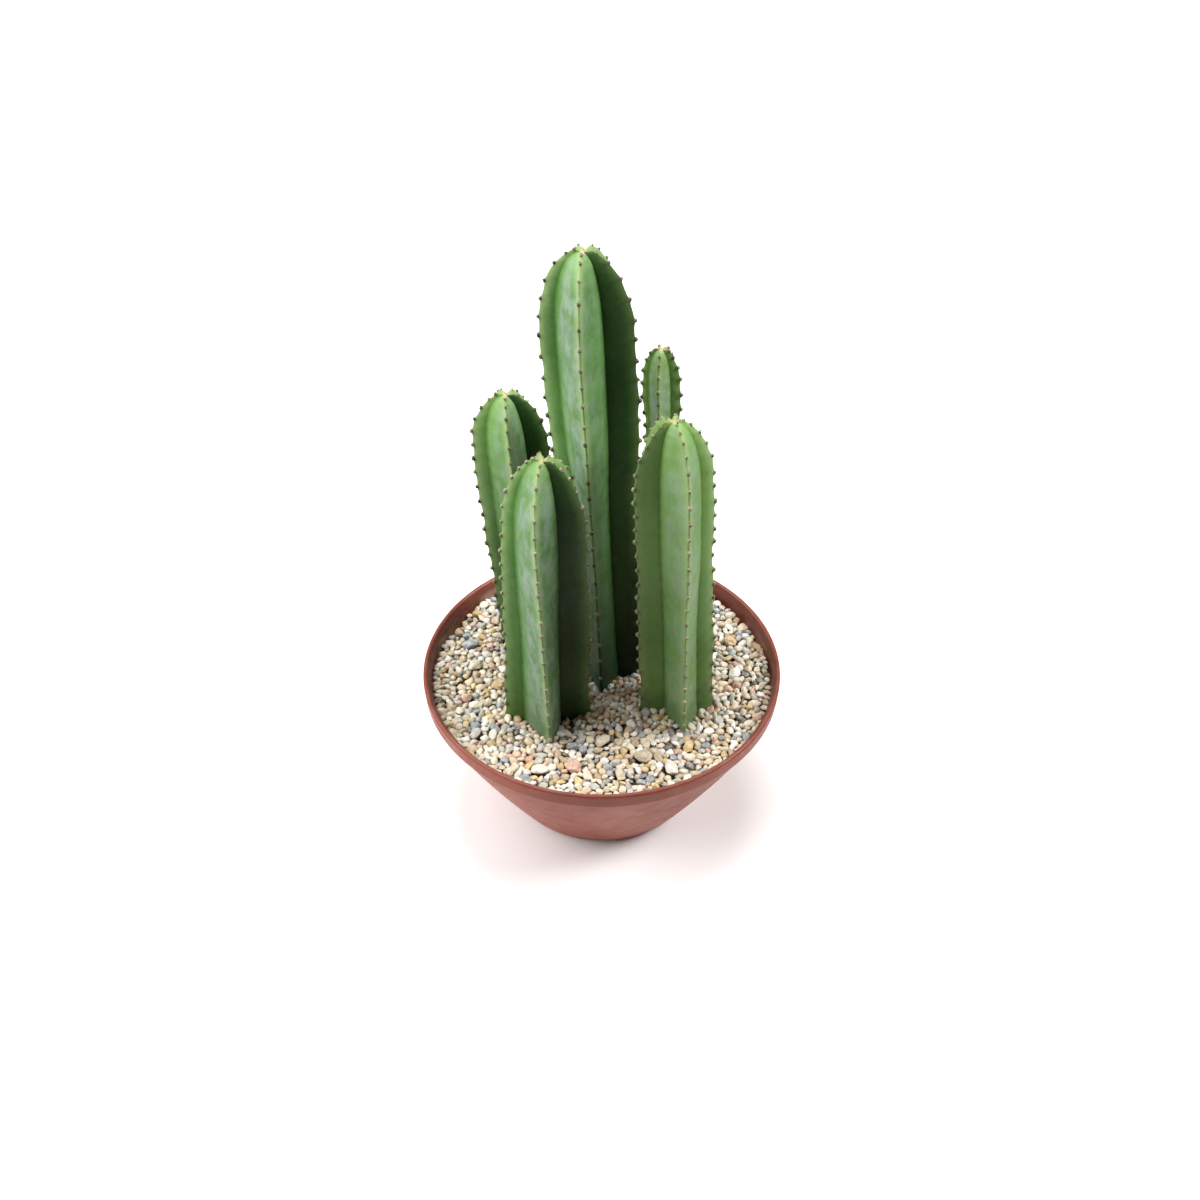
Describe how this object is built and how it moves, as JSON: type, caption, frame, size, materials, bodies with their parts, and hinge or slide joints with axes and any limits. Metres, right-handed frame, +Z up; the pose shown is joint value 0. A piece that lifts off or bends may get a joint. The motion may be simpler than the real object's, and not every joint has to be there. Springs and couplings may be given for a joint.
{
  "type": "potted cactus",
  "caption": "Ribbed columnar cactus stems of different heights standing in a shallow flared round bowl of soil, top-dressed with mixed gravel.",
  "frame": {"origin": "centre of the bowl's foot, on the surface the bowl stands on", "axes": "+Z up along the bowl's axis and the stems; -Y is the front, where the two mid-height stems stand; +X is to the right seen from the front"},
  "size_m": [0.25, 0.25, 0.446],
  "materials": {
    "pot_plastic": "satin",
    "soil": "matte",
    "gravel": "matte",
    "stem_flesh": "satin",
    "large_stone": "matte"
  },
  "bodies": {
    "root": {"pot_bowl": "pot_plastic", "potting_soil": "soil", "gravel_layer": "gravel", "stem_tall": "stem_flesh", "stem_front_left": "stem_flesh", "stem_front_right": "stem_flesh", "stem_back_left": "stem_flesh", "stem_back_right": "stem_flesh", "stone_01": "large_stone", "stone_02": "large_stone", "stone_03": "large_stone", "stone_04": "large_stone", "stone_05": "large_stone", "stone_06": "large_stone", "stone_07": "large_stone", "stone_08": "large_stone", "stone_09": "large_stone", "stone_10": "large_stone", "stone_11": "large_stone", "stone_12": "large_stone", "stone_13": "large_stone", "stone_14": "large_stone", "stone_15": "large_stone", "stone_16": "large_stone", "stone_17": "large_stone", "stone_18": "large_stone", "stone_19": "large_stone", "stone_20": "large_stone", "stone_21": "large_stone", "stone_22": "large_stone"}
  },
  "joints": []
}
